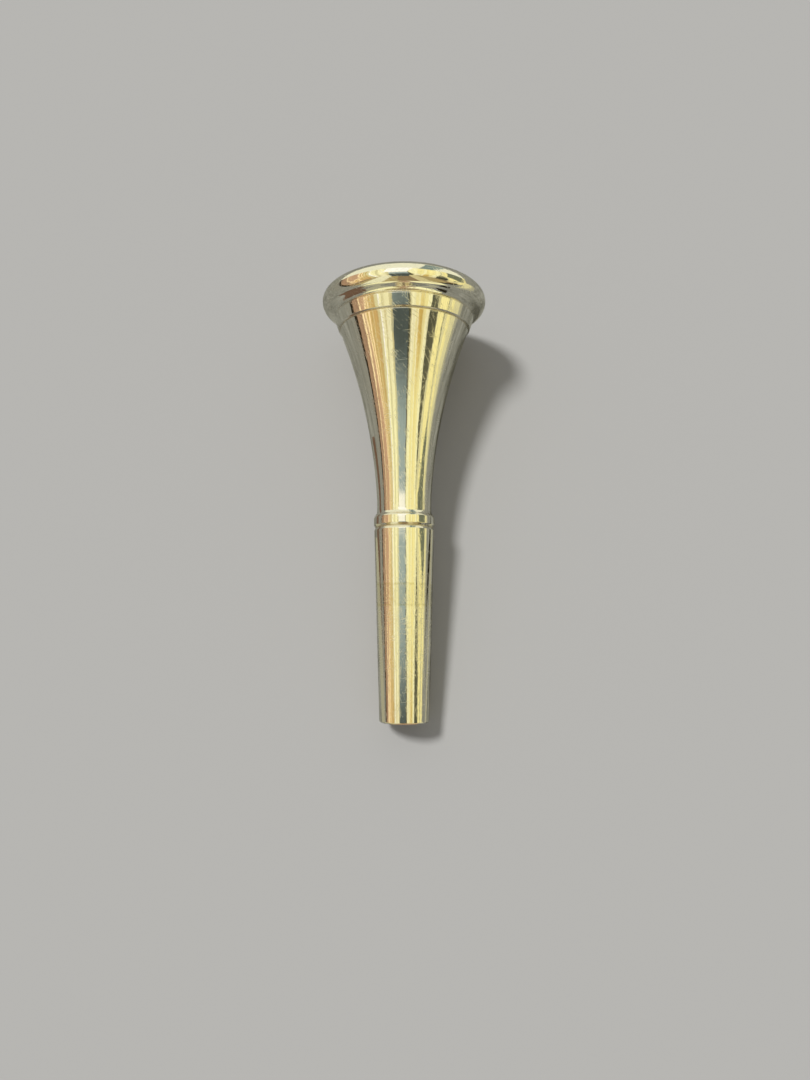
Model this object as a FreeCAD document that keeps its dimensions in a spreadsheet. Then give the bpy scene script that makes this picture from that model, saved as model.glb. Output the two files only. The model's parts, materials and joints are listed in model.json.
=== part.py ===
import FreeCAD, Part
import math
import os

import Sketcher

# French horn mouthpiece: one piece of brass, turned on a lathe, bored and silver plated.
# The sizes are those of the finished, plated piece.
#
# It is drawn as half of its cross-section and turned about the lathe axis.
# "Across" is the distance from that axis, and "up" is the distance from the open end
# of the shank towards the rim. The outline starts at the shank's end, climbs the outside,
# goes over the rim and comes back down through cup, throat and backbore.
# The finished mouthpiece lies on its side, on its rim and on the end of its shank,
# with the rim towards +Y and +Z up.

SIZES = [
    ("shank_end_diameter", 7.35, "shank at its open end"),
    ("shank_taper", 0.0582, "growth of the shank's diameter for each mm of its length"),
    ("shank_length", 28.35, "open end to the groove under the collar"),
    ("end_chamfer", 0.2, "broken edges of the shank's open end"),
    ("collar_step", 0.05, "collar over the top of the shank, on the radius"),
    ("collar_groove_width", 0.8, "groove between shank and collar"),
    ("collar_groove_depth", 0.24, "same groove, measured from the collar"),
    ("collar_side", 0.95, "straight side of the collar"),
    ("collar_rounding", 0.7, "round shoulder of the collar"),
    ("neck_depth", 0.58, "neck below the collar, on the radius"),
    ("body_length", 37.65, "top of the shank to the crest of the rim"),
    ("line_width", 0.3, "fine turned line under the band"),
    ("line_depth", 0.35, "same line, measured from the foot of the band"),
    ("body_step", 0.29, "body below the foot of the band, on the radius"),
    ("band_height", 1.66, "plain band over the fine line"),
    ("band_flare", 0.55, "growth of the band's radius from foot to top"),
    ("band_wall", 2.0, "top of the band outside the mouth of the cup, on the radius"),
    ("band_edge", 0.12, "raised edge of the band against the cove"),
    ("band_depth", 4.7, "crest of the rim to the top of the band"),
    ("cove_radius", 2.65, "hollow under the rim"),
    ("rim_width", 3.9, "rim from the mouth of the cup to its outside"),
    ("rim_edge_radius", 1.7, "outer rounding of the rim"),
    ("rim_fall", 0.47, "crest of the rim to the top of its outer rounding"),
    ("crest_inset", 0.15, "crest beyond the inner rounding of the rim"),
    ("bite_radius", 0.8, "inner rounding of the rim"),
    ("cup_mouth_diameter", 17.4, "cup at the inner edge of the rim"),
    ("cup_depth", 26.0, "crest of the rim to the throat"),
    ("throat_diameter", 4.5, "narrowest part of the bore"),
    ("throat_length", 3.0, "straight part of the throat"),
    ("backbore_end_diameter", 6.1, "backbore at the open end of the shank"),
]

ACROSS_AXIS = -1
START, END, CENTRE = 1, 2, 3
ORIGIN = (ACROSS_AXIS, START)
LEFT, RIGHT = 1, -1
FULL_TURN = 360.0
QUARTER_TURN = 90.0
LATHE_AXIS = FreeCAD.Vector(0, 0, 1)
SIDEWAYS = FreeCAD.Vector(1, 0, 0)


class Measure:
    """A length that knows both its value and the spreadsheet expression behind it."""

    def __init__(self, value, text):
        self.value = value
        self.text = text

    def __add__(self, other):
        return Measure(self.value + other.value, f"{self.text} + {other.text}")

    def __sub__(self, other):
        return Measure(self.value - other.value, f"{self.text} - ({other.text})")

    def __mul__(self, other):
        return Measure(self.value * other.value, f"({self.text}) * ({other.text})")

    def half(self):
        return Measure(self.value / 2, f"({self.text}) / 2")


SIZE = {name: Measure(value, f"sizes.{name}") for name, value, note in SIZES}


def station(across, up):
    """A point of the half section, each coordinate a Measure."""
    return (across, up)


def plain(point):
    return (point[0].value, point[1].value)


# Stations of the half section, from the shank's end to the rim and back inside.
SHANK_RADIUS = SIZE["shank_end_diameter"].half()
SHANK_TOP_RADIUS = SHANK_RADIUS + (SIZE["shank_length"] * SIZE["shank_taper"]).half()
COLLAR_RADIUS = SHANK_TOP_RADIUS + SIZE["collar_step"]
NECK_RADIUS = COLLAR_RADIUS - SIZE["neck_depth"]
COLLAR_FOOT = SIZE["shank_length"] + SIZE["collar_groove_width"]
COLLAR_TOP = COLLAR_FOOT + SIZE["collar_side"]
CREST = SIZE["shank_length"] + SIZE["body_length"]
BAND_TOP = CREST - SIZE["band_depth"]
BAND_FOOT = BAND_TOP - SIZE["band_height"]
MOUTH_RADIUS = SIZE["cup_mouth_diameter"].half()
BAND_TOP_RADIUS = MOUTH_RADIUS + SIZE["band_wall"]
BAND_FOOT_RADIUS = BAND_TOP_RADIUS - SIZE["band_flare"]
RIM_RADIUS = MOUTH_RADIUS + SIZE["rim_width"]
RIM_WIDEST = CREST - SIZE["rim_fall"] - SIZE["rim_edge_radius"]
CREST_RADIUS = MOUTH_RADIUS + SIZE["bite_radius"] + SIZE["crest_inset"]
THROAT_RADIUS = SIZE["throat_diameter"].half()
THROAT_TOP = CREST - SIZE["cup_depth"]
THROAT = station(THROAT_RADIUS, THROAT_TOP)
THROAT_FOOT = THROAT_TOP - SIZE["throat_length"]
BACKBORE_RADIUS = SIZE["backbore_end_diameter"].half()


def write_sheet(doc):
    """Put the driving sizes in a spreadsheet, one alias to a row."""
    sheet = doc.addObject("Spreadsheet::Sheet", "sizes")
    for row, (name, value, note) in enumerate(SIZES, start=1):
        sheet.set(f"A{row}", name)
        sheet.set(f"B{row}", str(value))
        sheet.set(f"C{row}", note)
        sheet.setAlias(f"B{row}", name)
    doc.recompute()


def along(start, end, distance):
    """The point at a distance from start, towards end or beyond it."""
    share = distance / math.dist(start, end)
    return (start[0] + share * (end[0] - start[0]), start[1] + share * (end[1] - start[1]))


def apart(first, first_distance, second, second_distance, side):
    """The point at given distances from two others, LEFT or RIGHT of the way between them."""
    gap = math.dist(first, second)
    ahead = (gap**2 + first_distance**2 - second_distance**2) / (2 * gap)
    aside = side * math.sqrt(first_distance**2 - ahead**2)
    step = ((second[0] - first[0]) / gap, (second[1] - first[1]) / gap)
    return (
        first[0] + ahead * step[0] - aside * step[1],
        first[1] + ahead * step[1] + aside * step[0],
    )


class Outline:
    """A closed chain of lines and arcs in a sketch on the body's XZ plane."""

    def __init__(self, body, name, start):
        self.sketch = body.newObject("Sketcher::SketchObject", name)
        plane = next(f for f in body.Origin.OriginFeatures if f.Role == "XZ_Plane")
        self.sketch.AttachmentSupport = [(plane, "")]
        self.sketch.MapMode = "FlatFace"
        self.here = start
        self.chain = []

    def constrain(self, kind, *references):
        return self.sketch.addConstraint(Sketcher.Constraint(kind, *references))

    def bind(self, kind, references, measure):
        """Add a dimension that follows the spreadsheet."""
        index = self.constrain(kind, *references, measure.value)
        self.sketch.setExpression(f"Constraints[{index}]", measure.text)

    def attach(self, geometry, near_end, far_end, smooth):
        """Join a new piece to the end of the chain, with or without a corner."""
        index = self.sketch.addGeometry(geometry, False)
        if self.chain:
            last, last_end = self.chain[-1]
            kind = "Tangent" if smooth else "Coincident"
            self.constrain(kind, last, last_end, index, near_end)
        self.chain.append((index, far_end))
        return index

    def line(self, end, smooth=False):
        segment = Part.LineSegment(FreeCAD.Vector(*self.here, 0), FreeCAD.Vector(*end, 0))
        self.here = end
        return self.attach(segment, START, END, smooth)

    def arc(self, end, centre, turn, smooth=True):
        """An arc about centre that turns LEFT or RIGHT on its way to end."""
        circle = Part.Circle(FreeCAD.Vector(*centre, 0), LATHE_AXIS, math.dist(centre, end))
        begin = math.atan2(self.here[1] - centre[1], self.here[0] - centre[0])
        finish = math.atan2(end[1] - centre[1], end[0] - centre[0])
        self.here = end
        if turn == LEFT:
            return self.attach(Part.ArcOfCircle(circle, begin, finish), START, END, smooth)
        return self.attach(Part.ArcOfCircle(circle, finish, begin), END, START, smooth)

    def place(self, point, geometry=None, end=None):
        """Hold a vertex, by default the end of the chain, at a station."""
        if geometry is None:
            geometry, end = self.chain[-1]
        self.bind("DistanceX", (*ORIGIN, geometry, end), point[0])
        self.bind("DistanceY", (*ORIGIN, geometry, end), point[1])

    def mark(self, point):
        """A construction point at a station."""
        index = self.sketch.addGeometry(Part.Point(FreeCAD.Vector(*plain(point), 0)), True)
        self.place(point, index, START)
        return index

    def corner(self, point):
        """A straight line to a station."""
        index = self.line(plain(point))
        self.place(point)
        return index


def draw_shank_and_collar(outline):
    """Shank taper, groove and collar side, up to where the collar's rounding starts."""
    first = outline.corner(station(SHANK_TOP_RADIUS, SIZE["shank_length"]))
    outline.bind("DistanceX", (*ORIGIN, first, START), SHANK_RADIUS)
    outline.constrain("PointOnObject", first, START, ACROSS_AXIS)
    groove_middle = SIZE["shank_length"] + SIZE["collar_groove_width"].half()
    outline.corner(station(COLLAR_RADIUS - SIZE["collar_groove_depth"], groove_middle))
    outline.corner(station(COLLAR_RADIUS, COLLAR_FOOT))
    outline.corner(station(COLLAR_RADIUS, COLLAR_TOP))
    return first


def draw_body(outline):
    """Collar shoulder and the long curve of neck and body, up to the fine line."""
    neck = station(NECK_RADIUS, SIZE["shank_length"])
    top = station(BAND_FOOT_RADIUS - SIZE["body_step"], BAND_FOOT - SIZE["line_width"])
    rise = top[1].value - neck[1].value
    swell = top[0].value - neck[0].value
    curve_radius = (rise**2 + swell**2) / (2 * swell)
    curve_centre = (neck[0].value + curve_radius, neck[1].value)
    rounding = SIZE["collar_rounding"]
    shoulder_centre = (COLLAR_RADIUS.value - rounding.value, COLLAR_TOP.value)
    shoulder_end = apart(shoulder_centre, rounding.value, curve_centre, curve_radius, LEFT)
    shoulder = outline.arc(shoulder_end, shoulder_centre, LEFT)
    outline.bind("Radius", (shoulder,), rounding)
    curve = outline.arc(plain(top), curve_centre, RIGHT, smooth=False)
    outline.place(top)
    outline.bind("DistanceY", (*ORIGIN, curve, CENTRE), neck[1])
    outline.constrain("PointOnObject", outline.mark(neck), START, curve)


def draw_band(outline):
    """Fine turned line, plain band and its raised edge."""
    line_middle = BAND_FOOT - SIZE["line_width"].half()
    outline.corner(station(BAND_FOOT_RADIUS - SIZE["line_depth"], line_middle))
    outline.corner(station(BAND_FOOT_RADIUS, BAND_FOOT))
    outline.corner(station(BAND_TOP_RADIUS, BAND_TOP))
    outline.corner(station(BAND_TOP_RADIUS - SIZE["band_edge"], BAND_TOP + SIZE["band_edge"]))


def draw_rim(outline):
    """Cove, outer rounding, crest and inner rounding, as arcs that run into each other."""
    edge = SIZE["rim_edge_radius"]
    bite = SIZE["bite_radius"]
    cove = SIZE["cove_radius"]
    edge_middle = station(RIM_RADIUS - edge, RIM_WIDEST)
    edge_centre = plain(edge_middle)
    cove_centre = apart(outline.here, cove.value, edge_centre, edge.value + cove.value, RIGHT)
    cove_end = along(edge_centre, cove_centre, edge.value)
    cove_arc = outline.arc(cove_end, cove_centre, RIGHT, smooth=False)
    outline.bind("Radius", (cove_arc,), cove)

    fall = SIZE["rim_fall"].value
    reach = edge_centre[0] - CREST_RADIUS.value
    crest_radius = (reach**2 + (edge.value + fall) ** 2 - edge.value**2) / (2 * fall)
    crest_centre = (CREST_RADIUS.value, CREST.value - crest_radius)
    edge_arc = outline.arc(along(crest_centre, edge_centre, crest_radius), edge_centre, LEFT)
    outline.bind("Radius", (edge_arc,), edge)
    outline.place(edge_middle, edge_arc, CENTRE)

    bite_across = MOUTH_RADIUS.value + bite.value
    bite_drop = math.sqrt((crest_radius - bite.value) ** 2 - (crest_centre[0] - bite_across) ** 2)
    bite_centre = (bite_across, crest_centre[1] + bite_drop)
    crest_arc = outline.arc(along(crest_centre, bite_centre, crest_radius), crest_centre, LEFT)
    crest_mark = outline.mark(station(CREST_RADIUS, CREST))
    outline.constrain("PointOnObject", crest_mark, START, crest_arc)
    outline.constrain("Vertical", crest_mark, START, crest_arc, CENTRE)

    cup_wall = math.sqrt(math.dist(bite_centre, plain(THROAT)) ** 2 - bite.value**2)
    bite_end = apart(bite_centre, bite.value, plain(THROAT), cup_wall, RIGHT)
    bite_arc = outline.arc(bite_end, bite_centre, LEFT)
    outline.bind("Radius", (bite_arc,), bite)
    outline.bind("DistanceX", (*ORIGIN, bite_arc, CENTRE), MOUTH_RADIUS + bite)


def draw_bore(outline, first):
    """Cup, throat and backbore, and the shank's end face back to the first line."""
    outline.line(plain(THROAT), smooth=True)
    outline.place(THROAT)
    outline.corner(station(THROAT_RADIUS, THROAT_FOOT))
    backbore = outline.line((BACKBORE_RADIUS.value, 0.0))
    outline.bind("DistanceX", (*ORIGIN, backbore, END), BACKBORE_RADIUS)
    outline.constrain("PointOnObject", backbore, END, ACROSS_AXIS)
    end_face = outline.line((SHANK_RADIUS.value, 0.0))
    outline.constrain("Coincident", end_face, END, first, START)


def turn_mouthpiece(doc):
    """Turn the whole outline about the lathe axis, then break the edges of the open end."""
    body = doc.addObject("PartDesign::Body", "mouthpiece")
    outline = Outline(body, "turned_outline", (SHANK_RADIUS.value, 0.0))
    first = draw_shank_and_collar(outline)
    draw_body(outline)
    draw_band(outline)
    draw_rim(outline)
    draw_bore(outline, first)
    turning = body.newObject("PartDesign::Revolution", "turning")
    turning.Profile = outline.sketch
    turning.ReferenceAxis = (outline.sketch, ["V_Axis"])
    turning.Angle = FULL_TURN
    doc.recompute()
    chamfer = body.newObject("PartDesign::Chamfer", "end_chamfers")
    chamfer.Base = (turning, end_edges(turning.Shape))
    chamfer.setExpression("Size", SIZE["end_chamfer"].text)
    body.Tip = chamfer
    doc.recompute()
    return body


def end_edges(shape):
    """Names of the two circles around the end face of the shank."""
    near_end = SIZE["end_chamfer"].value
    return [
        f"Edge{number}"
        for number, edge in enumerate(shape.Edges, start=1)
        if edge.Closed and edge.BoundBox.ZMax < near_end
    ]


def lay_down(body):
    """Tip the body over until rim and shank end touch the table, centred over the origin."""
    chamfer = SIZE["end_chamfer"]
    corner = plain(station(SHANK_RADIUS + (chamfer * SIZE["shank_taper"]).half(), chamfer))
    rim_centre = plain(station(RIM_RADIUS - SIZE["rim_edge_radius"], RIM_WIDEST))
    slope = math.atan2(rim_centre[0] - corner[0], rim_centre[1] - corner[1])
    rounding = math.asin(SIZE["rim_edge_radius"].value / math.dist(corner, rim_centre))
    tilt = math.degrees(slope + rounding)
    lying = FreeCAD.Rotation(SIDEWAYS, tilt - QUARTER_TURN)
    body.Placement = FreeCAD.Placement(FreeCAD.Vector(), lying)
    box = body.Shape.optimalBoundingBox(False)
    body.Placement.Base = FreeCAD.Vector(-box.Center.x, -box.Center.y, -box.ZMin)


def check(doc, body):
    for item in doc.Objects:
        if "Invalid" in item.State or "Error" in item.State:
            raise RuntimeError(f"{item.Label} failed: {item.State}")
    if body.Shape.isNull() or not body.Shape.isValid() or len(body.Shape.Solids) != 1:
        raise RuntimeError(f"{body.Label} isn't one valid solid")


def main():
    os.makedirs("parts", exist_ok=True)
    doc = FreeCAD.newDocument("horn_mouthpiece")
    write_sheet(doc)
    body = turn_mouthpiece(doc)
    lay_down(body)
    check(doc, body)
    body.Shape.exportStep(f"parts/{body.Label}.step")
    print(body.Label, round(body.Shape.Volume, 1), "mm3")


main()
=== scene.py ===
# %% [markdown]
# # A silver plated horn mouthpiece
#
# The object is one bar of brass that was turned and bored on a lathe and then silver plated.
# Everything round on it is round about one line, so this lesson draws half of its
# cross-section, spins it about that line, and spends the rest of its effort on the polished
# silver. Polished metal has hardly any colour of its own and shows its surroundings, so the
# room around it matters as much as the material does.
#
# The first cell loads the finished engineering model. It fixes the place and the size of the
# piece.

# %% Load the engineering model
import json
import math

import bmesh
import bpy
from mathutils import Matrix, Vector
from mathutils.kdtree import KDTree


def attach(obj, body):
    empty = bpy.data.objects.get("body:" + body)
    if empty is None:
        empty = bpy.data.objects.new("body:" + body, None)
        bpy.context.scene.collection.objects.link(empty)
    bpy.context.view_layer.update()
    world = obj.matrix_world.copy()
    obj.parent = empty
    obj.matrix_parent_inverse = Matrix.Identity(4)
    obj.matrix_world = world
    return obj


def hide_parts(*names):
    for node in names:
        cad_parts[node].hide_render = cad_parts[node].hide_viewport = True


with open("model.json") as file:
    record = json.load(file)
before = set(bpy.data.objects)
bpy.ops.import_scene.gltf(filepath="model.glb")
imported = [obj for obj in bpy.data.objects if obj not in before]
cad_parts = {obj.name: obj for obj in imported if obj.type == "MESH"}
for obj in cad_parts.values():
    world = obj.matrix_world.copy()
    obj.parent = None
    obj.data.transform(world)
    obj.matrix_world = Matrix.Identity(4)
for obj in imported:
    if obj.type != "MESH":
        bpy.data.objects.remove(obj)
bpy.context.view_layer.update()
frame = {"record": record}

# %% [markdown]
# ## The camera
#
# The photograph looks almost straight down from about 13 cm away, a little from the shank's
# side. From so near, the rim looks larger than it would from across a room, so the distance
# matters as much as the angle. A camera can be aimed by a constraint, but three plain turns
# are easier to read and stay as they are.

# %% Camera at the photograph's viewing angle
MM = 0.001
CAMERA_PLACE = Vector((6.96, -36.39, 125.50)) * MM
CAMERA_TURNS = (14.236, 3.210, 0.406)
FOCAL_LENGTH = 26.97
SENSOR_LONG_SIDE = 36.0
NEAREST_SEEN = 0.005

camera_data = bpy.data.cameras.new("camera")
camera_data.sensor_width = SENSOR_LONG_SIDE
camera_data.lens = FOCAL_LENGTH
camera_data.clip_start = NEAREST_SEEN
camera = bpy.data.objects.new("camera", camera_data)
camera.location = CAMERA_PLACE
camera.rotation_euler = [math.radians(turn) for turn in CAMERA_TURNS]
bpy.context.scene.collection.objects.link(camera)
bpy.context.scene.camera = camera
bpy.context.scene.view_settings.view_transform = "Standard"
print("camera", round(CAMERA_PLACE.length / MM), "mm from the middle of the floor")

# %% [markdown]
# ## The turned shape
#
# A lathe cuts one outline all the way round. In Blender such a shape can be sculpted from a
# cylinder, made with the Screw modifier, or spun in mesh code. Spinning in code is chosen
# here, because the outline is built from real sizes, with arcs that run smoothly into
# each other, and a mirror finish shows every flat spot that a guessed curve would have.
#
# Distances are in millimetres: the first number of a point is its distance from the lathe's
# line, the second its height above the open end of the shank. Widths across the piece are
# given as radii, from the lathe's line.

# %% Sizes of the turned piece, in millimetres
SHANK_END, SHANK_TAPER, SHANK_LENGTH = 3.675, 0.0291, 28.35
END_CHAMFER = 0.2
COLLAR_STEP, COLLAR_SIDE, COLLAR_ROUNDING = 0.05, 0.95, 0.7
GROOVE_WIDTH, GROOVE_DEPTH = 0.8, 0.24
NECK_DEPTH = 0.58
NECK_EASE, NECK_EASE_HEIGHT, FILLET = 40.0, 1.4, 1.3
BODY_LENGTH = 37.65
LINE_WIDTH, LINE_DEPTH, BODY_STEP = 0.3, 0.35, 0.29
BAND_HEIGHT, BAND_FLARE, BAND_WALL, BAND_DEPTH, BAND_EDGE = 1.66, 0.55, 2.0, 4.7, 0.28
COVE_RADIUS = 2.65
RIM_WIDTH, RIM_ROUNDING, RIM_FALL = 3.9, 1.7, 0.47
CREST_INSET, BITE_RADIUS = 0.15, 0.8
CUP_MOUTH, CUP_DEPTH = 8.7, 26.0
THROAT, THROAT_LENGTH, BACKBORE_END = 2.25, 3.0, 3.05

shank_top = SHANK_END + SHANK_TAPER * SHANK_LENGTH
collar = shank_top + COLLAR_STEP
collar_foot = SHANK_LENGTH + GROOVE_WIDTH
collar_top = collar_foot + COLLAR_SIDE
crest_height = SHANK_LENGTH + BODY_LENGTH
band_top = crest_height - BAND_DEPTH
band_foot = band_top - BAND_HEIGHT
band_radius = CUP_MOUTH + BAND_WALL
band_foot_radius = band_radius - BAND_FLARE
rim_radius = CUP_MOUTH + RIM_WIDTH
print("length", crest_height, "mm, rim", round(2 * rim_radius, 2), "mm across")

# %% [markdown]
# ### Shank, groove and collar
#
# The shank is a cone that a horn grips by friction. A small V groove parts it from the
# collar. They could be rings of their own, set on top of each other, but the lathe cuts them
# from one bar, so they are corners of one outline. All of them are straight in cross-section,
# and corner points are enough.

# %% The outline from the shank's end to the collar
outline = [Vector((SHANK_END, 0.0)) + Vector((SHANK_TAPER * END_CHAMFER, END_CHAMFER))]
outline.append(Vector((shank_top, SHANK_LENGTH)))
groove = Vector((collar - GROOVE_DEPTH, SHANK_LENGTH + GROOVE_WIDTH / 2))
outline += [groove, Vector((collar, collar_foot)), Vector((collar, collar_top))]
print("shank", 2 * SHANK_END, "to", round(2 * shank_top, 2), "mm across, then groove and collar")

# %% [markdown]
# ### Arcs that meet
#
# The rest of the outline is made of arcs, most of which run into each other. A Bezier curve
# could be bent by eye to look like them, but only true arcs keep the radii that were measured.
# Where two arcs meet smoothly, the centre of one lies at a known distance from two other
# points. One helper finds such a point, and another walks along an arc in small steps, each of
# which becomes one row of faces.

# %% Helpers for arcs
ARC_STEP = math.radians(4.0)
LONGEST_STEP = 0.5
LEFT, RIGHT = 1, -1


def meeting(first, first_reach, second, second_reach, side):
    """The point at given distances from two others, left or right of the way between them."""
    way = second - first
    ahead = (way.length_squared + first_reach**2 - second_reach**2) / (2 * way.length)
    aside = side * math.sqrt(first_reach**2 - ahead**2)
    way.normalize()
    return first + way * ahead + Vector((-way.y, way.x)) * aside


def arc(start, centre, end):
    """Points along an arc from start to end, the short way, leaving out the start."""
    spoke, last = start - centre, end - centre
    sweep = math.atan2(spoke.cross(last), spoke.dot(last))
    step = min(ARC_STEP, LONGEST_STEP / spoke.length)
    count = max(2, math.ceil(abs(sweep) / step))
    return [centre + Matrix.Rotation(sweep * n / count, 2) @ spoke for n in range(1, count + 1)]


print("an arc gets a point at least every", LONGEST_STEP, "mm")

# %% [markdown]
# ### Neck and body
#
# Over the collar's round shoulder the neck swells into the body in one long hollow curve. Its
# arc starts upright at the neck and ends at the fine line. Many points could be measured on
# the curve instead, but each would be a little wrong, and a mirror shows such waves. A
# tighter arc eases it into the collar, with a small fillet in the corner, as the polishing
# wheel leaves it.

# %% The outline from the collar to the fine line
neck = Vector((collar - NECK_DEPTH, SHANK_LENGTH))
body_top = Vector((band_foot_radius - BODY_STEP, band_foot - LINE_WIDTH))
climb = body_top - neck
body_curve = climb.length_squared / (2 * climb.x)
body_centre = neck + Vector((body_curve, 0.0))

ease_centre = Vector((0.0, collar_top + NECK_EASE_HEIGHT))
ease_drop = ease_centre.y - body_centre.y
ease_centre.x = body_centre.x - math.sqrt((body_curve - NECK_EASE) ** 2 - ease_drop**2)
ease_end = body_centre + (ease_centre - body_centre).normalized() * body_curve

shoulder_centre = Vector((collar - COLLAR_ROUNDING, collar_top))
shoulder_to_fillet, ease_to_fillet = COLLAR_ROUNDING + FILLET, NECK_EASE - FILLET
fillet_centre = meeting(shoulder_centre, shoulder_to_fillet, ease_centre, ease_to_fillet, LEFT)
shoulder_end = shoulder_centre + (fillet_centre - shoulder_centre).normalized() * COLLAR_ROUNDING
fillet_end = ease_centre + (fillet_centre - ease_centre).normalized() * NECK_EASE

outline += arc(outline[-1], shoulder_centre, shoulder_end)
outline += arc(shoulder_end, fillet_centre, fillet_end)
outline += arc(fillet_end, ease_centre, ease_end)
outline += arc(ease_end, body_centre, body_top)
print("body drawn, its long curve has a radius of", round(body_curve, 1), "mm")

# %% [markdown]
# ### Fine line and band
#
# A fine V-shaped line and a plain band close the body. The line could be a bump in the
# material, but it is deep enough to show at the edge of the body, so it is cut into the
# outline. The band's upper edge is rounded, and it catches the light right beside the hollow
# under the rim.

# %% The outline of the fine line and the band
line_bottom = Vector((band_foot_radius - LINE_DEPTH, band_foot - LINE_WIDTH / 2))
outline += [line_bottom, Vector((band_foot_radius, band_foot)), Vector((band_radius, band_top))]
edge_centre = Vector((band_radius - BAND_EDGE, band_top))
outline += arc(outline[-1], edge_centre, edge_centre + Vector((0.0, BAND_EDGE)))
print("band from", round(band_foot, 2), "to", round(band_top, 2), "mm above the shank's end")

# %% [markdown]
# ### The rim
#
# The cove undercuts the rim. The outer rounding and the flat crest are what the lips feel,
# and the small bite is the inner edge. A ring with bevelled edges would come near, but it
# shows where its bevels begin. Here each arc starts in the direction in which the last one
# ends, so no line shows between them in the silver.

# %% The outline of the cove, the outer rounding and the crest
rim_centre = Vector((rim_radius - RIM_ROUNDING, crest_height - RIM_FALL - RIM_ROUNDING))
cove_start = outline[-1]
cove_reach = RIM_ROUNDING + COVE_RADIUS
cove_centre = meeting(cove_start, COVE_RADIUS, rim_centre, cove_reach, RIGHT)
cove_end = rim_centre + (cove_centre - rim_centre).normalized() * RIM_ROUNDING
outline += arc(cove_start, cove_centre, cove_end)

crest = Vector((CUP_MOUTH + BITE_RADIUS + CREST_INSET, crest_height))
rim_reach = rim_centre.x - crest.x
crest_rise = RIM_ROUNDING + RIM_FALL
crest_radius = (rim_reach**2 + crest_rise**2 - RIM_ROUNDING**2) / (2 * RIM_FALL)
crest_centre = crest - Vector((0.0, crest_radius))
crest_start = crest_centre + (rim_centre - crest_centre).normalized() * crest_radius
outline += arc(cove_end, rim_centre, rim_centre + Vector((RIM_ROUNDING, 0.0)))
outline += arc(outline[-1], rim_centre, crest_start)
print("crest", round(crest_height, 2), "mm up, a flat arc of radius", round(crest_radius, 1), "mm")

# %% [markdown]
# ### Cup and bore
#
# The cup is a deep funnel, whose straight wall leaves the bite without a corner. Behind the
# narrow throat, the backbore widens to the shank's end. A Boolean modifier could drill all of
# it out of a solid shape, but in a spun outline the inside is only a few more points.

# %% The outline of the inside
bite_across = CUP_MOUTH + BITE_RADIUS - crest.x
bite_up = math.sqrt((crest_radius - BITE_RADIUS) ** 2 - bite_across**2)
bite_centre = crest_centre + Vector((bite_across, bite_up))
bite_start = crest_centre + (bite_centre - crest_centre).normalized() * crest_radius
outline += arc(crest_start, crest_centre, bite_start)

throat_top = Vector((THROAT, crest_height - CUP_DEPTH))
cup_wall = math.sqrt((bite_centre - throat_top).length_squared - BITE_RADIUS**2)
bite_end = meeting(bite_centre, BITE_RADIUS, throat_top, cup_wall, RIGHT)
outline += arc(bite_start, bite_centre, bite_end)

throat_foot = throat_top - Vector((0.0, THROAT_LENGTH))
backbore_taper = (BACKBORE_END - THROAT) / throat_foot.y
outline += [throat_top, throat_foot]
outline += [Vector((BACKBORE_END - backbore_taper * END_CHAMFER, END_CHAMFER))]
outline += [Vector((BACKBORE_END + END_CHAMFER, 0.0)), Vector((SHANK_END - END_CHAMFER, 0.0))]
print("cup", CUP_DEPTH, "mm deep; outline closed with", len(outline), "points")

# %% [markdown]
# ### Broken edges
#
# No edge of a polished piece is perfectly sharp: the buffing wheel rounds each one by a few
# hundredths of a millimetre, and that thin round catches a bright line of light. A Bevel
# modifier could do it, but on an outline it is simpler: each sharp corner becomes a small
# curve. A second point a little further off on each side keeps the shading of the
# long faces clean.

# %% Round every sharp corner of the outline
SHARP = math.radians(12.0)
EDGE_BREAK = 0.05
CUTS_TO_A_SIDE = 5
CORNER_POINTS = 4


def softened(points):
    """The closed outline with each sharp corner replaced by a small curve."""
    soft = []
    for number, corner in enumerate(points):
        back = points[number - 1] - corner
        on = points[(number + 1) % len(points)] - corner
        if (-back).angle(on) < SHARP:
            soft.append(corner)
            continue
        cut = min(EDGE_BREAK, back.length / CUTS_TO_A_SIDE, on.length / CUTS_TO_A_SIDE)
        start, end = corner + back.normalized() * cut, corner + on.normalized() * cut
        soft.append(corner + back.normalized() * cut * 2)
        for step in range(CORNER_POINTS + 1):
            share = step / CORNER_POINTS
            soft.append(start.lerp(corner, share).lerp(corner.lerp(end, share), share))
        soft.append(corner + on.normalized() * cut * 2)
    return soft


profile = softened(outline)
print("outline with its corners broken:", len(profile), "points")

# %% [markdown]
# ### Spin it
#
# The ring of points is spun a full turn about the lathe's line. 288 steps leave each face of
# the rim about a quarter of a millimetre wide. Fewer steps and a Subdivision modifier would
# be lighter, but the modifier pulls the outline off its measured arcs.

# %% Spin the outline into a mesh
TURN_STEPS = 288
SAME_POINT = 1e-5


def spun(points):
    """A closed ring of points, spun a full turn about the lathe's line, in millimetres."""
    turned = bmesh.new()
    ring = [turned.verts.new((point.x, 0.0, point.y)) for point in points]
    edges = [turned.edges.new(pair) for pair in zip(ring, ring[1:] + ring[:1])]
    bmesh.ops.spin(
        turned, geom=ring + edges, axis=(0, 0, 1), cent=(0, 0, 0),
        angle=math.tau, steps=TURN_STEPS, use_merge=True,
    )
    bmesh.ops.remove_doubles(turned, verts=turned.verts, dist=SAME_POINT)
    bmesh.ops.recalc_face_normals(turned, faces=turned.faces)
    return turned


turned = spun(profile)
mesh = bpy.data.meshes.new("silver_mouthpiece")
turned.to_mesh(mesh)
turned.free()
print("spun into", len(mesh.polygons), "faces")

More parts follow.
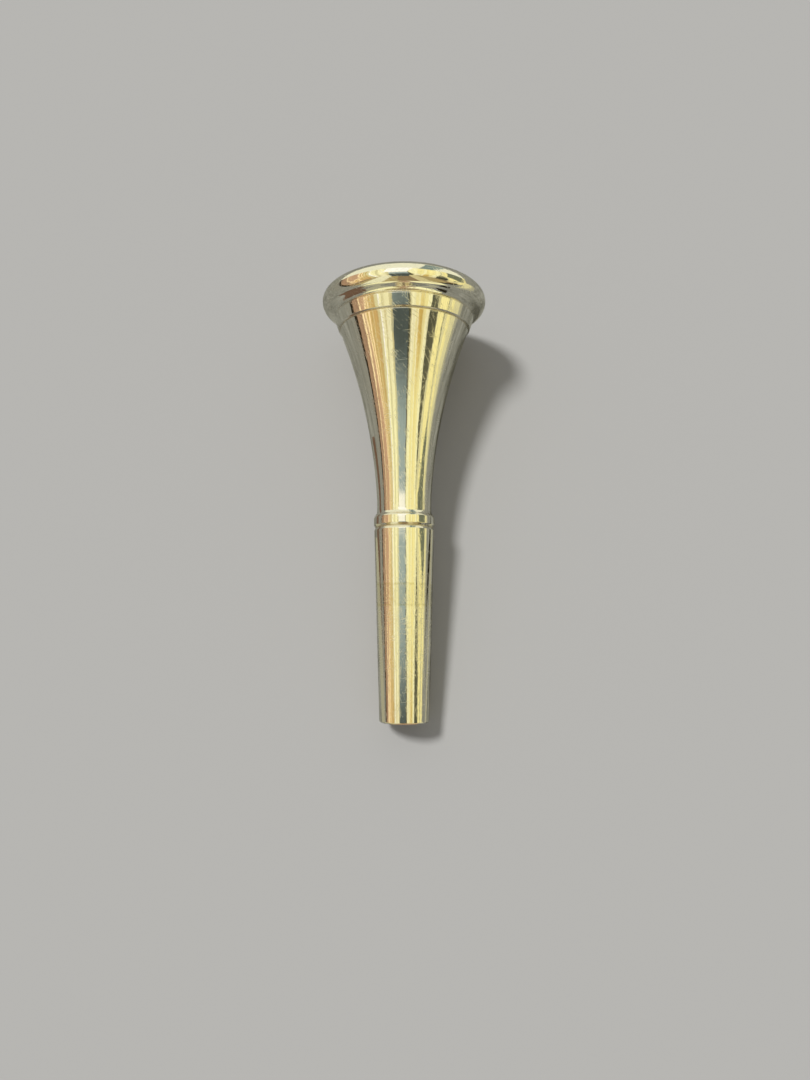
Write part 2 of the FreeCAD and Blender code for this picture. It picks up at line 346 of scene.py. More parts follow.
# %% [markdown]
# ### Remember where each point was on the lathe
#
# The material will need to know two things about each point, however the piece lies: its
# place on the lathe, and how far along the outline it was. A UV map could hold both, but it
# would be cut open along a seam. They are stored as attributes of the mesh instead, before it
# moves. A finder gives the nearest point of the outline quickly.

# %% Store the lathe's coordinates on the mesh
lathe_place = mesh.attributes.new("lathe_place", "FLOAT_VECTOR", "POINT")
for vertex, stored in zip(mesh.vertices, lathe_place.data):
    stored.vector = vertex.co

finder = KDTree(len(profile))
trail, so_far = [], 0.0
for number, point in enumerate(profile):
    so_far += (point - profile[number - 1]).length if number else 0.0
    trail.append(so_far)
    finder.insert((point.x, point.y, 0.0), number)
finder.balance()

along_outline = mesh.attributes.new("along_outline", "FLOAT", "POINT")
for vertex, stored in zip(mesh.vertices, along_outline.data):
    reach = math.hypot(vertex.co.x, vertex.co.y)
    stored.value = trail[finder.find((reach, vertex.co.z, 0.0))[1]]
print("the outline is", round(so_far, 1), "mm long, from the shank's end over the rim and back")

# %% [markdown]
# ### Lay it down
#
# The record names the middle of the shank's open end and the direction in which the shank
# goes into a horn, so the lathe's line is known in the frame of the engineering model. The
# object could be turned, but the engineering pieces stay at the origin with their places in
# their meshes, so here the mesh moves too. Then the piece takes the place of the engineering
# piece and rides on the only body.

# %% Move the mesh into the frame
taper_mount = next(m for m in frame["record"]["mounts"] if m["name"] == "shank_taper")
end_middle = Vector(taper_mount["pos_m"])
lathe_line = -Vector(taper_mount["axis"]).normalized()
laid_down = Matrix.Translation(end_middle) @ lathe_line.to_track_quat("Z", "Y").to_matrix().to_4x4()
mesh.transform(laid_down @ Matrix.Scale(MM, 4))
mesh.shade_smooth()
mouthpiece = bpy.data.objects.new("silver_mouthpiece", mesh)
bpy.context.scene.collection.objects.link(mouthpiece)
print("the lathe's line climbs", round(math.degrees(math.asin(lathe_line.z)), 1), "degrees")

# %% Stand in for the engineering piece
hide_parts("mouthpiece")
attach(mouthpiece, "root")
print("pieces dressed: 1, with", len(mesh.vertices), "points")

# %% [markdown]
# ## Polished silver
#
# Silver is a metal, so its base colour is the colour of its reflection: a very light,
# slightly warm white. Image textures could carry its scratches, but they stretch on a shape
# like this one and stop at their own pixels. Procedural textures are used instead, and they
# read the lathe's coordinates, in millimetres, that were stored on every point.
#
# A few small helpers keep the node trees readable: one fills a socket, one adds a node with
# its settings, and one does a step of arithmetic and hands back its output.

# %% The silver and the first helpers
silver = bpy.data.materials.new("polished_silver")
silver.use_nodes = True
silver_tree = silver.node_tree
mesh.materials.append(silver)


def fill(socket, value):
    """Give a socket a plain value, or link another node's output to it."""
    if isinstance(value, bpy.types.NodeSocket):
        socket.id_data.links.new(value, socket)
    else:
        socket.default_value = value


def add(tree, kind, **given):
    """A new node. A name in small letters is a setting, and one with capitals a socket."""
    node = tree.nodes.new("ShaderNode" + kind)
    for name, value in given.items():
        if name.islower():
            setattr(node, name, value)
        else:
            fill(node.inputs[name.replace("_", " ")], value)
    return node


def calc(operation, *values):
    """One step of arithmetic in the silver's tree."""
    node = add(silver_tree, "Math", operation=operation)
    for socket, value in zip(node.inputs, values):
        fill(socket, value)
    return node.outputs[0]


print("material", silver.name)

# %% [markdown]
# The stored coordinates come in through Attribute nodes. Two numbers unroll the surface like
# the label of a tin: the way along the outline, and the way round, which is the angle turned
# into millimetres at a middle radius.

# %% Coordinates of the silver
MIDDLE_RADIUS = 7.0

place = add(silver_tree, "Attribute", attribute_name="lathe_place").outputs["Vector"]
along = add(silver_tree, "Attribute", attribute_name="along_outline").outputs["Fac"]
sideways, upward, height = add(silver_tree, "SeparateXYZ", Vector=place).outputs
radius = calc("SQRT", calc("ADD", calc("POWER", sideways, 2.0), calc("POWER", upward, 2.0)))
around = calc("MULTIPLY", calc("ARCTAN2", sideways, upward), MIDDLE_RADIUS)
print("the silver knows its radius, its height and two ways over the unrolled surface")

# %% [markdown]
# ### Where it is worn, stained or dull
#
# Masks come first: numbers between 0 and 1 that say where something is. They could be painted
# by hand, but they are made from two things that can be set by numbers: soft steps at a
# chosen place, and cloudy noise, so that no edge of wear looks drawn.

# %% Soft steps and clouds
SMUDGES_PER_MM, CLOUDS_PER_MM = 0.32, 1.3


def fade(value, zero_at, one_at):
    """0 on one side, 1 on the other, and smooth between."""
    falling = one_at < zero_at
    node = add(
        silver_tree, "MapRange", interpolation_type="SMOOTHSTEP", Value=value,
        From_Min=min(zero_at, one_at), From_Max=max(zero_at, one_at),
        To_Min=1.0 if falling else 0.0, To_Max=0.0 if falling else 1.0,
    )
    return node.outputs["Result"]


def noise(where, scale=1.0, detail=2.0):
    """Cloudy noise around 0.5, with scale clouds to a unit."""
    node = add(silver_tree, "TexNoise", Vector=where, Scale=scale, Detail=detail)
    return node.outputs["Fac"]


smudges = noise(place, SMUDGES_PER_MM, detail=3.0)
clouds = noise(place, CLOUDS_PER_MM)
print("smudges are about", round(1 / SMUDGES_PER_MM), "mm large")

# %% [markdown]
# A faint ring on the shank shows how far it goes into the horn. It is a pale stain with
# firmer, patchy edges. A step up at its foot and a step down at its top make it, and a band
# of clouds at each of them its edges.

# %% The ring on the shank
RING_FOOT, RING_TOP = 16.9, 20.4
RING_SOFTNESS, RING_EDGE, RING_EDGE_REACH = 0.25, 0.2, 0.3
RING_FILL = 0.45


def near(middle, reach):
    """1 at a height above the shank's end, falling to 0 at a distance from it."""
    return fade(calc("ABSOLUTE", calc("SUBTRACT", height, middle)), zero_at=reach, one_at=0.0)


above_foot = fade(height, RING_FOOT, RING_FOOT + RING_SOFTNESS)
below_top = fade(height, RING_TOP, RING_TOP - RING_SOFTNESS)
foot_edge = near(RING_FOOT + RING_EDGE, RING_EDGE_REACH)
top_edge = near(RING_TOP - RING_EDGE, RING_EDGE_REACH)
patches = fade(clouds, zero_at=0.4, one_at=0.6)
edges = calc("MULTIPLY", calc("MAXIMUM", foot_edge, top_edge), patches)
ring = calc("MULTIPLY_ADD", calc("MULTIPLY", above_foot, below_top), RING_FILL, edges)
print("ring from", RING_FOOT, "to", RING_TOP, "mm above the shank's end")

# %% [markdown]
# The inside is never polished as well as the outside, so it needs a mask of its own: it is
# whatever lies within the cup's cone, and below the throat within a plain tube. Tarnish
# stays on the outside where a buffing wheel doesn't reach, in the groove, in the fine line
# and beside them, and painted shade darkens these same hollows.

# %% Inside, outside and hollows
WALL_MARGIN = 0.3
GROOVE_REACH, LINE_REACH, CORNER_REACH = 0.36, 0.13, 0.35
COVE_FOOT = 0.25
CORNER_SHARE = 0.55

cup_slope = (bite_end.x - THROAT) / (bite_end.y - throat_top.y)
above_throat = calc("SUBTRACT", height, throat_top.y)
cone = calc("MULTIPLY_ADD", above_throat, cup_slope, THROAT + WALL_MARGIN)
wall = calc("MAXIMUM", cone, BACKBORE_END + WALL_MARGIN)
inside = fade(calc("SUBTRACT", radius, wall), zero_at=0.15, one_at=-0.1)
outside = calc("SUBTRACT", 1.0, inside)

in_groove = calc("MAXIMUM", near(groove.y, GROOVE_REACH), near(line_bottom.y, LINE_REACH))
over_band, over_collar = near(band_top + COVE_FOOT, CORNER_REACH), near(shoulder_end.y, CORNER_REACH)
in_corners = calc("MULTIPLY", calc("MAXIMUM", over_band, over_collar), CORNER_SHARE)
# Tarnish with painted shade: the groove, the fine line and the corners beside them.
hollows = calc("MULTIPLY", outside, calc("MAXIMUM", in_groove, in_corners))
print("the cup's wall opens by", round(cup_slope, 3), "mm in each mm")

# %% [markdown]
# Putting the shank into the horn and taking it out again wears it a little dull, in patches
# that run round it. Round clouds would look like spilt drops, so the noise is squeezed along
# the lathe's line, which leaves it long round the piece.

# %% The worn shank
SHANK_MIDDLE = 14.0
WORN_STRETCH = (0.8, 0.8, 3.2)


def scaled(tree, where, factors):
    """A place with each of its three numbers multiplied."""
    node = add(tree, "VectorMath", operation="MULTIPLY")
    fill(node.inputs[0], where)
    fill(node.inputs[1], factors)
    return node.outputs[0]


worn_patches = noise(scaled(silver_tree, place, WORN_STRETCH), detail=3.0)
on_shank = near(SHANK_MIDDLE, reach=14.0)
worn = calc("MULTIPLY", on_shank, fade(worn_patches, zero_at=0.50, one_at=0.68))
print("worn around", SHANK_MIDDLE, "mm above the shank's end")

# %% [markdown]
# ### Scratches
#
# Fine scratches show first where something dark is reflected. A noise that is squeezed hard in
# one direction has long thin peaks, and cut off near their tops they are short straight strokes
# with pointed ends. Several directions are laid over the unrolled surface, and a slow noise
# leaves some places almost free of them. The shank is handled most and has the most, and the
# cup has hardly any.

# %% Directions of the scratches
HANDLED_REACH, HANDLED_MORE = 13.0, 0.13

# Each direction: its turn in degrees, its strokes' length and width in millimetres, and the
# level of the slow noise up to which the surface stays free of them.
STROKES = (
    (4.0, 5.0, 0.11, 0.50), (-34.0, 2.6, 0.11, 0.42), (-48.0, 1.8, 0.13, 0.46),
    (40.0, 2.2, 0.11, 0.50), (84.0, 4.0, 0.10, 0.52), (-12.0, 3.5, 0.12, 0.50),
)
handled = calc("MULTIPLY", near(SHANK_MIDDLE, HANDLED_REACH), HANDLED_MORE)
print("scratches in", len(STROKES), "directions")

# %% Hairlines
STROKE_START, STROKE_FULL = 0.68, 0.76
GATES_PER_MM, GATE_OFFSET, GATE_SOFTNESS = 0.45, 3.0, 0.10
STROKE_LAYER = 8.0
INSIDE_SHARE = 0.1


def unrolled(layer):
    """The place on the unrolled surface. Another layer gives other noise there."""
    return add(silver_tree, "CombineXYZ", X=around, Y=along, Z=layer).outputs[0]


def hairlines(turn, length, width, free, layer):
    """Thin straight scratches in one direction over the unrolled surface."""
    squeezed = add(
        silver_tree, "Mapping", vector_type="TEXTURE", Vector=unrolled(layer),
        Rotation=(0.0, 0.0, math.radians(turn)), Scale=(width, length, 1.0),
    )
    stroke = fade(noise(squeezed.outputs[0], detail=0.0), STROKE_START, STROKE_FULL)
    gate = calc("ADD", noise(unrolled(layer + GATE_OFFSET), GATES_PER_MM), handled)
    return calc("MULTIPLY", stroke, fade(gate, free, free + GATE_SOFTNESS))


scratches = 0.0
for number, (turn, length, width, free) in enumerate(STROKES):
    lines = hairlines(turn, length, width, free, STROKE_LAYER * number)
    scratches = calc("MAXIMUM", scratches, lines)
fewer_inside = calc("MULTIPLY_ADD", outside, 1.0 - INSIDE_SHARE, INSIDE_SHARE)
scratches = calc("MULTIPLY", scratches, fewer_inside)
print("hairlines drawn, with", INSIDE_SHARE, "of them left inside")

# %% [markdown]
# Here and there a tiny speck has dulled the silver. Noise has no round spots, but a Voronoi
# texture has one point in each of its cells, and a small disc about some of these points
# makes the specks.

# %% Specks
CELLS_PER_MM = 1.5
cells = add(silver_tree, "TexVoronoi", Vector=place, Scale=CELLS_PER_MM)
discs = fade(cells.outputs["Distance"], zero_at=0.16, one_at=0.08)
specks = calc("MULTIPLY", discs, fade(clouds, zero_at=0.5, one_at=0.6))
print("at most", CELLS_PER_MM, "specks to a millimetre")

# %% [markdown]
# ### Colour and gloss
#
# Tarnish warms the silver's colour and takes some of its gloss, and painted shade darkens it
# in the hollows. Two shaders could be mixed, a clean one and a dull one, but one shader whose
# colour and roughness follow the masks is simpler. Each mask has its own share in them, and
# the shares are added up.

# %% The silver's colour
CLEAN_SILVER = (0.945, 0.925, 0.88, 1.0)
WARM_TARNISH_AND_SHADE = (0.56, 0.46, 0.28, 1.0)
FAINT_STAIN = (0.80, 0.76, 0.62, 1.0)
# The hollows' share is tarnish with painted shade, and the smudges' share is tarnish.
RING_STAIN, HOLLOW_TARNISH_AND_SHADE, SMUDGE_TARNISH = 0.75, 0.5, 0.12


def blend(tree, share, first, second):
    """From the first colour to the second."""
    node = add(tree, "Mix", data_type="RGBA", Factor=share, A=first, B=second)
    return node.outputs["Result"]


shader = silver_tree.nodes["Principled BSDF"]
shader.inputs["Metallic"].default_value = 1.0
smudge_tarnish = calc("MULTIPLY", fade(smudges, zero_at=0.55, one_at=0.8), SMUDGE_TARNISH)
# The hollows get tarnish with painted shade, and the smudges get tarnish only.
tarnish_and_shade = calc("MULTIPLY_ADD", hollows, HOLLOW_TARNISH_AND_SHADE, smudge_tarnish)
stained = blend(silver_tree, calc("MULTIPLY", ring, RING_STAIN), CLEAN_SILVER, FAINT_STAIN)
fill(shader.inputs["Base Color"], blend(silver_tree, tarnish_and_shade, stained, WARM_TARNISH_AND_SHADE))
print("clean silver is", CLEAN_SILVER[:3])

# %% The silver's gloss
POLISHED = 0.045
dull_smudges = fade(smudges, zero_at=0.4, one_at=0.7)
# Each mask and the roughness that it adds.
GLOSS_LOST = (
    (dull_smudges, 0.035), (hollows, 0.22), (ring, 0.05), (worn, 0.15),
    (scratches, 0.22), (specks, 0.20), (inside, 0.14),
)
roughness = POLISHED
for mask, share in GLOSS_LOST:
    roughness = calc("MULTIPLY_ADD", mask, share, roughness)
fill(shader.inputs["Roughness"], roughness)
print("roughness starts at", POLISHED, "and", len(GLOSS_LOST), "masks add to it")

# %% [markdown]
# ### The last micrometres
#
# The finest relief is far too small for faces of its own, so it is a bump in the material.
# The heights of all the marks are added up in micrometres and go to one Bump node, whose
# distance is one micrometre. That keeps each layer at its true depth: buffing leaves a very
# shallow orange skin and long low waves, the lathe leaves rings that only just survive the
# polish, most of all on the neck and inside, and scratches and specks go down.

# %% The silver's relief
MICROMETRE = 1e-6
WAVE_STRETCH, LATHE_STRETCH = (0.6, 0.6, 0.12), (0.2, 0.2, 5.0)
NECK_MIDDLE, NECK_REACH = 38.0, 9.0
LATHE_DEPTH, MORE_ON_NECK, MORE_INSIDE = 0.6, 1.2, 2.0

orange_skin = noise(place, scale=1.1, detail=1.0)
long_waves = noise(scaled(silver_tree, place, WAVE_STRETCH), detail=1.0)
lathe_rings = noise(scaled(silver_tree, place, LATHE_STRETCH))
lathe_depth = calc("MULTIPLY_ADD", near(NECK_MIDDLE, NECK_REACH), MORE_ON_NECK, LATHE_DEPTH)
lathe_depth = calc("MULTIPLY_ADD", inside, MORE_INSIDE, lathe_depth)
# Each layer and its height in micrometres.
RELIEF = (
    (orange_skin, 5.0), (long_waves, 16.0), (lathe_rings, lathe_depth),
    (scratches, -1.3), (specks, -3.0),
)
relief = 0.0
for layer, depth in RELIEF:
    relief = calc("MULTIPLY_ADD", layer, depth, relief)
bump = add(silver_tree, "Bump", Distance=MICROMETRE, Height=relief)
fill(shader.inputs["Normal"], bump.outputs["Normal"])
print("silver ready,", len(silver_tree.nodes), "nodes")

# %% [markdown]
# ## The table
#
# A plain pale floor carries the piece and its shadow. A curved backdrop would hide the
# horizon, but the camera looks down and never sees it, so one flat square is enough. It has
# no gloss of its own, so that its colour renders about as it is written.

# %% Floor
FLOOR_REACH = 1.5
FLOOR_COLOUR = (0.48, 0.475, 0.46, 1.0)
MATT = 0.9


def square(reach, height):
    """The corners of a level square about the origin, in metres."""
    return [(x * reach, y * reach, height) for x, y in ((-1, -1), (1, -1), (1, 1), (-1, 1))]


def plane(name, corners):
    """A flat sheet of the set, which isn't part of the object."""
    sheet_mesh = bpy.data.meshes.new(name)
    sheet_mesh.from_pydata(corners, [], [tuple(range(len(corners)))])
    sheet = bpy.data.objects.new(name, sheet_mesh)
    bpy.context.scene.collection.objects.link(sheet)
    return sheet


floor = plane("floor", square(FLOOR_REACH, 0.0))
pale = bpy.data.materials.new("pale_floor")
pale.use_nodes = True
floor_shader = pale.node_tree.nodes["Principled BSDF"]
floor_shader.inputs["Base Color"].default_value = FLOOR_COLOUR
floor_shader.inputs["Roughness"].default_value = MATT
floor_shader.inputs["Specular IOR Level"].default_value = 0.0
floor.data.materials.append(pale)
print("floor", 2 * FLOOR_REACH, "m wide")

# %% [markdown]
# ## The light
#
# A pale sky lights the piece softly from everywhere, and one far lamp that looks 11 degrees
# wide gives it a soft shadow. Together they light the floor to about the colour that is
# written above. Where the sky is looked at, straight or in a reflection, it is a little paler
# than the light it gives, so that it matches the lit floor.

# %% Sky
SKY_COLOUR = (1.0, 0.99, 0.96, 1.0)
SKY_STRENGTH, SKY_SEEN = 0.38, 0.47

sky = bpy.data.worlds.new("pale_sky")
sky.use_nodes = True
sky_tree = sky.node_tree
rays = add(sky_tree, "LightPath")
looked_at = rays.outputs["Is Camera Ray"]
for kind_of_ray in ("Is Glossy Ray", "Is Transmission Ray"):
    either = add(sky_tree, "Math", operation="MAXIMUM")
    fill(either.inputs[0], looked_at)
    fill(either.inputs[1], rays.outputs[kind_of_ray])
    looked_at = either.outputs[0]
strength = add(sky_tree, "MapRange", Value=looked_at, To_Min=SKY_STRENGTH, To_Max=SKY_SEEN)
sky_tree.nodes["Background"].inputs["Color"].default_value = SKY_COLOUR
fill(sky_tree.nodes["Background"].inputs["Strength"], strength.outputs["Result"])
bpy.context.scene.world = sky
print("the sky lights with", SKY_STRENGTH, "and is seen as", SKY_SEEN)

# %% [markdown]
# The lamp is of Blender's Sun kind. An Area lamp close by would light the near end of the
# piece more than the far end, and of a Sun only the direction counts, so its place just says
# where the light comes from. It isn't seen in the silver: the papers of the next step are.

# %% Lamp
LAMP_PLACE = Vector((-0.30, 0.22, 0.70))
LAMP_WIDTH, LAMP_STRENGTH = 11.0, 2.15

lamp_data = bpy.data.lights.new("soft_lamp", "SUN")
lamp_data.angle = math.radians(LAMP_WIDTH)
lamp_data.energy = LAMP_STRENGTH
lamp = bpy.data.objects.new("soft_lamp", lamp_data)
lamp.location = LAMP_PLACE
lamp.rotation_euler = (-LAMP_PLACE).to_track_quat("-Z", "Y").to_euler()
lamp.visible_glossy = False
bpy.context.scene.collection.objects.link(lamp)
print("lamp", LAMP_WIDTH, "degrees wide")

# %% [markdown]
# ## Something for the silver to reflect
#
# Polished metal photographed in an empty pale room looks like grey plastic. A photographer
# hangs strips of coloured paper over it, and the long stripes on the metal are their
# reflections. A picture of a room could be wrapped round the scene instead, but papers can be
# placed one by one until each stripe falls where it should. Each paper glows by itself and is
# seen only in reflections, so it neither lights the floor nor shades it.
#
# A paper has one to three colours. The first is its colour near the photographer, and it
# turns into the second and the third further along Y, because a real room isn't lit evenly
# either. Fine streaks run along it.

# %% Colours of the papers
PAPERS = {
    "cream": ((0.92, 0.85, 0.50), (1.0, 0.94, 0.50)),
    "pale_yellow": ((0.82, 0.71, 0.32), (0.95, 0.84, 0.35)),
    "straw": ((0.64, 0.55, 0.27), (0.72, 0.66, 0.34)),
    "peach": ((0.97, 0.70, 0.34), (1.0, 0.78, 0.42)),
    "pink_brown": ((0.46, 0.31, 0.17), (0.38, 0.24, 0.14)),
    "pink": ((0.46, 0.31, 0.17), (0.55, 0.345, 0.195)),
    "amber": ((0.62, 0.39, 0.14), (0.62, 0.43, 0.15)),
    "gold": ((0.64, 0.43, 0.11), (0.92, 0.79, 0.31)),
    "slate": ((0.08, 0.095, 0.08), (0.36, 0.43, 0.38), (1.05, 1.01, 0.80)),
    "olive_shade": ((0.065, 0.065, 0.038), (0.12, 0.115, 0.065)),
    "green_shade": ((0.30, 0.29, 0.15), (0.17, 0.18, 0.11)),
    "brown_shade": ((0.02, 0.018, 0.008), (0.02, 0.016, 0.008)),
    "tan": ((0.42, 0.33, 0.14),),
    "brown": ((0.28, 0.20, 0.10),),
    "ivory": ((0.84, 0.80, 0.50), (0.86, 0.84, 0.60)),
    "stone": ((0.40, 0.38, 0.25),),
    "red_brown": ((0.15, 0.09, 0.055),),
    "grey_green": ((0.22, 0.28, 0.24),),
    "white": ((1.1, 1.07, 0.92),),
}
print(len(PAPERS), "papers planned")

# %% Make the papers
# Where the first colour turns into the second, and the second into the third, in metres.
CHANGES = ((-0.205, -0.10), (-0.055, -0.02))
STREAKS = 0.16
STREAK_STRETCH = (55.0, 4.0, 55.0)


def paper(name):
    """A glowing paper whose colour may change along Y, with fine streaks along it."""
    made = bpy.data.materials.new(name)
    made.use_nodes = True
    tree = made.node_tree
    tree.nodes.remove(tree.nodes["Principled BSDF"])
    where = add(tree, "TexCoord").outputs["Object"]
    y = add(tree, "SeparateXYZ", Vector=where).outputs["Y"]
    colour, *later = [(*tone, 1.0) for tone in PAPERS[name]]
    for tone, (begin, end) in zip(later, CHANGES):
        share = add(tree, "MapRange", interpolation_type="SMOOTHSTEP", Value=y)
        share.inputs["From Min"].default_value = begin
        share.inputs["From Max"].default_value = end
        colour = blend(tree, share.outputs["Result"], colour, tone)
    streaks = add(tree, "TexNoise", Vector=scaled(tree, where, STREAK_STRETCH), Scale=1.0)
    brightness = add(tree, "MapRange", Value=streaks.outputs["Fac"])
    brightness.inputs["To Min"].default_value = 1.0 - 2 * STREAKS
    brightness.inputs["To Max"].default_value = 1.0 + 2 * STREAKS
    glow = add(tree, "Emission", Color=colour, Strength=brightness.outputs["Result"])
    fill(tree.nodes["Material Output"].inputs["Surface"], glow.outputs["Emission"])
    return made


glowing = {name: paper(name) for name in PAPERS}
print(len(glowing), "glowing papers")

# %% [markdown]
# ### Strips of paper over the piece
#
# The strips are parts of one large tube round the piece, whose line is Y. Flat strips would
# need a place and a tilt each, but on a tube an angle says everything. They follow each other
# without gaps from the left to the right, so each is given by its right edge alone: its
# angles from straight up, with minus to the left, at four places along the tube. Where
# neighbouring edges come together, the stripe between them runs out to a point.

# %% Edges of the strips
STRIP_DISTANCE = 0.5
STRIP_STEP = 4.0
# The near end of the tube, the four places where the angles are given, and its far end.
SEAM_PLACES = (-0.30, -0.22, -0.115, -0.022, 0.004, 0.30)
FIRST_SEAM = (-92, -92, -92, -92)
STRIPS = [
    ("brown_shade", (-84, -84.5, -86, -86)), ("pink_brown", (-77, -74, -74, -75)),
    ("peach", (-73, -70, -72, -73)), ("pink", (-72, -69, -57, -58)),
    ("peach", (-70, -65, -54, -55)), ("amber", (-65, -62, -52, -53)),
    ("peach", (-60, -59, -50, -51)), ("amber", (-54, -54, -48, -49)),
    ("straw", (-53, -53, -46, -47)), ("amber", (-44, -45, -44, -45)),
    ("straw", (-38, -40, -42, -42)), ("white", (-36, -38, -40, -40)),
    ("cream", (-32, -34, -34, -34)), ("straw", (-29, -30, -30, -30)),
    ("cream", (-21, -22, -22, -22)), ("straw", (-18, -17, -17, -17)),
    ("slate", (12, 9, 7, 7)), ("olive_shade", (16, 12, 8, 8)),
    ("straw", (18, 14, 9, 9)), ("cream", (26, 21, 20, 20)),
    ("pale_yellow", (28, 28, 28, 28)), ("cream", (30, 31, 32, 32)),
    ("gold", (39, 37, 36, 36)), ("pale_yellow", (44, 42, 44, 44)),
    ("cream", (50, 49, 50, 50)), ("olive_shade", (69, 65, 51, 50.2)),
    ("straw", (71, 66, 62, 52)), ("pale_yellow", (77, 76, 79.6, 60)),
    ("green_shade", (77.2, 78, 80.4, 85.5)), ("straw", (81, 82, 84, 87)),
    ("pale_yellow", (91, 91, 91, 91)), ("straw", (97, 97, 97, 97)),
]
print(len(STRIPS), "strips planned, from", FIRST_SEAM[0], "to", STRIPS[-1][1][0], "degrees")

# %% Hang the strips


def unseen(name, points, faces):
    """A part of the room that shows only in reflections."""
    part_mesh = bpy.data.meshes.new(name)
    part_mesh.from_pydata(points, [], faces)
    part = bpy.data.objects.new(name, part_mesh)
    bpy.context.scene.collection.objects.link(part)
    part.visible_camera = part.visible_diffuse = part.visible_shadow = False
    return part


def strip(name, first, last):
    """A strip of a tube along Y. Its two edges are given by their angles at four places."""
    points, faces = [], []
    count = max(1, math.ceil(max(b - a for a, b in zip(first, last)) / STRIP_STEP))
    spans = list(zip((first[0], *first, first[-1]), (last[0], *last, last[-1])))
    for y, (start, end) in zip(SEAM_PLACES, spans):
        for n in range(count + 1):
            angle = math.radians(start + (end - start) * n / count)
            across, up = STRIP_DISTANCE * math.sin(angle), STRIP_DISTANCE * math.cos(angle)
            points.append((across, y, up))
    row = count + 1
    for row_number in range(len(SEAM_PLACES) - 1):
        for n in range(count):
            corner = row_number * row + n
            faces.append((corner, corner + 1, corner + row + 1, corner + row))
    return unseen(name, points, faces)


left_seam = FIRST_SEAM
for number, (name, right_seam) in enumerate(STRIPS):
    strip(f"strip_{number}", left_seam, right_seam).data.materials.append(glowing[name])
    left_seam = right_seam
print(len(STRIPS), "strips hung", STRIP_DISTANCE, "m away")

# %% [markdown]
# ### Sheets at both ends and above
#
# The rim curves so strongly that it also sees the two ends of the tube. Upright sheets close
# each end, brown, tan and ivory ones near the photographer and one ivory sheet at the far end,
# where a grey-green sheet leans across it. A slate sheet carries the dark stripe on where the
# tube ends, and a dark one stands low in the near right corner. A white sheet over the middle
# gives the rim and the collar their highlights.

# %% Sheets at both ends and above, in metres
NEAR_END, SHEET_TOP = -0.30, 0.5
# Each near sheet: its paper, its left edge and its right edge.
NEAR_SHEETS = (
    ("brown", -0.60, -0.34), ("tan", -0.34, -0.25), ("ivory", -0.25, -0.10),
    ("tan", -0.10, -0.03), ("brown", -0.03, 0.08), ("straw", 0.08, 0.17),
    ("tan", 0.17, 0.36), ("brown", 0.36, 0.60),
)
# Each single sheet: its name, its paper and its corners.
SINGLE_SHEETS = (
    ("slate_sheet", "slate",
     ((-0.154, -0.299, 0.50), (0.104, -0.299, 0.50), (0.07, -0.299, 0.34), (-0.10, -0.299, 0.34))),
    ("dark_corner", "brown_shade",
     ((0.20, -0.27, 0.0), (0.55, -0.20, 0.0), (0.55, -0.20, 0.06), (0.20, -0.27, 0.04))),
    ("far_sheet", "ivory",
     ((-0.60, 0.30, 0.0), (0.60, 0.30, 0.0), (0.60, 0.30, 0.5), (-0.60, 0.30, 0.5))),
    ("leaning_sheet", "grey_green",
     ((0.06, 0.29, 0.02), (0.14, 0.29, 0.02), (0.40, 0.29, 0.50), (0.20, 0.29, 0.50))),
    ("white_sheet", "white",
     ((-0.20, 0.02, 0.46), (0.06, 0.02, 0.46), (0.10, 0.28, 0.40), (-0.14, 0.28, 0.40))),
)


def sheet(name, paper_name, points):
    """One flat sheet of paper through three or more points."""
    unseen(name, points, [tuple(range(len(points)))]).data.materials.append(glowing[paper_name])


for number, (name, left, right) in enumerate(NEAR_SHEETS):
    sides = ((left, 0.0), (right, 0.0), (right, SHEET_TOP), (left, SHEET_TOP))
    sheet(f"near_sheet_{number}", name, [(x, NEAR_END, z) for x, z in sides])
for name, paper_name, corners in SINGLE_SHEETS:
    sheet(name, paper_name, corners)
print(len(NEAR_SHEETS) + len(SINGLE_SHEETS), "sheets at both ends and above")

# %% [markdown]
# ### Sheets on the table
#
# What lies round the piece colours the parts of it that face down. Warm papers in front of
# the shank's end colour the hollow under the rim, and smaller ones beside the piece break up
# its edges. They lie just over the floor, and only the silver sees them.

# %% Sheets on the table, in metres
PAPER_HEIGHT = 0.0004
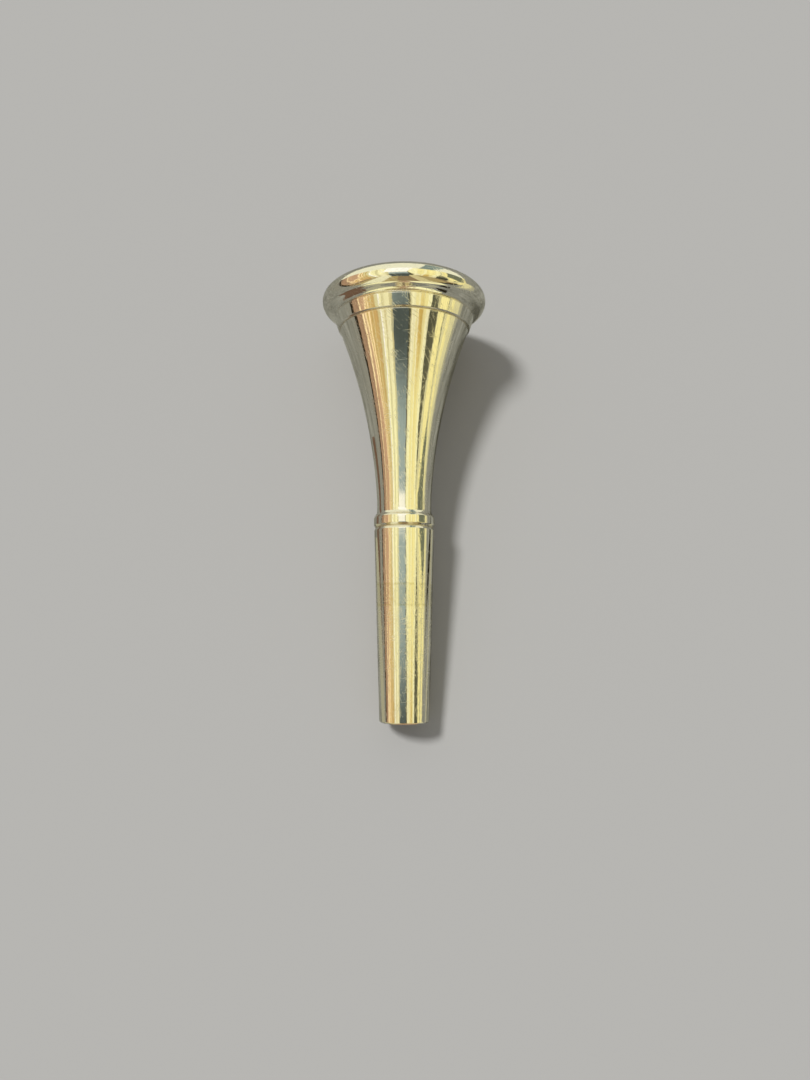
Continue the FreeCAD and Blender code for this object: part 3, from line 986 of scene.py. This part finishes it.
# Each sheet: its paper and its corners.
FLOOR_SHEETS = (
    ("cream", ((-0.120, -0.300), (-0.012, -0.300), (-0.012, -0.042), (-0.060, -0.046))),
    ("tan", ((-0.012, -0.300), (-0.006, -0.300), (-0.006, -0.042), (-0.012, -0.042))),
    ("pink_brown", ((-0.006, -0.300), (0.011, -0.300), (0.011, -0.042), (-0.006, -0.042))),
    ("cream", ((0.011, -0.300), (0.220, -0.300), (0.050, -0.040), (0.011, -0.042))),
    ("stone", ((-0.045, -0.042), (-0.011, -0.042), (-0.011, -0.004), (-0.018, -0.004))),
    ("red_brown",
     ((-0.036, -0.029), (-0.018, -0.004), (-0.016, 0.012), (-0.028, 0.012), (-0.036, -0.008))),
    ("stone", ((0.0105, -0.042), (0.015, -0.042), (0.015, -0.002), (0.0105, -0.002))),
    ("straw", ((0.080, -0.035), (0.600, -0.070), (0.600, 0.090), (0.080, 0.045))),
    ("stone", ((0.055, -0.025), (0.080, -0.035), (0.080, 0.045), (0.055, 0.040))),
    ("brown_shade", ((0.015, -0.008), (0.031, -0.023), (0.034, -0.016), (0.018, 0.001))),
)
for number, (name, places) in enumerate(FLOOR_SHEETS):
    sheet(f"floor_sheet_{number}", name, [(x, y, PAPER_HEIGHT) for x, y in places])
print(len(FLOOR_SHEETS), "sheets on the table")

# %% [markdown]
# ### Grey paper below everything
#
# The outermost parts of a round mirror show what it stands on. On a pale table they would
# melt into the background, so a mottled grey paper lies under the piece, where only the
# silver sees it: a painted reflection that draws the silver's edges darker than the floor.
# A glowing one would look the same everywhere. This one is lit by the room, so it is darker
# where the piece shades it.

# %% Grey paper
GREY_REACH, GREY_HEIGHT = 0.6, 0.0002
DARK_GREY, LIGHT_GREY = (0.09, 0.09, 0.07, 1.0), (0.36, 0.36, 0.31, 1.0)
MOTTLES_PER_METRE, MOTTLE_DETAIL, MOTTLE_ROUGHNESS = 120.0, 6.0, 0.7

# A painted reflection: only the silver sees this grey sheet, and it darkens the silver's edges.
grey_reflection_sheet = unseen("grey_reflection_sheet", square(GREY_REACH, GREY_HEIGHT), [(0, 1, 2, 3)])
grey = bpy.data.materials.new("grey_paper")
grey.use_nodes = True
grey_tree = grey.node_tree
where = add(grey_tree, "TexCoord").outputs["Object"]
mottle = add(grey_tree, "TexNoise", Vector=where, Scale=MOTTLES_PER_METRE)
mottle.inputs["Detail"].default_value = MOTTLE_DETAIL
mottle.inputs["Roughness"].default_value = MOTTLE_ROUGHNESS
spread = add(grey_tree, "MapRange", Value=mottle.outputs["Fac"], From_Min=0.3, From_Max=0.7)
grey_shader = grey_tree.nodes["Principled BSDF"]
grey_colour = blend(grey_tree, spread.outputs["Result"], DARK_GREY, LIGHT_GREY)
fill(grey_shader.inputs["Base Color"], grey_colour)
grey_shader.inputs["Roughness"].default_value = MATT
grey_reflection_sheet.data.materials.append(grey)
print("grey paper", 2 * GREY_REACH, "m wide")
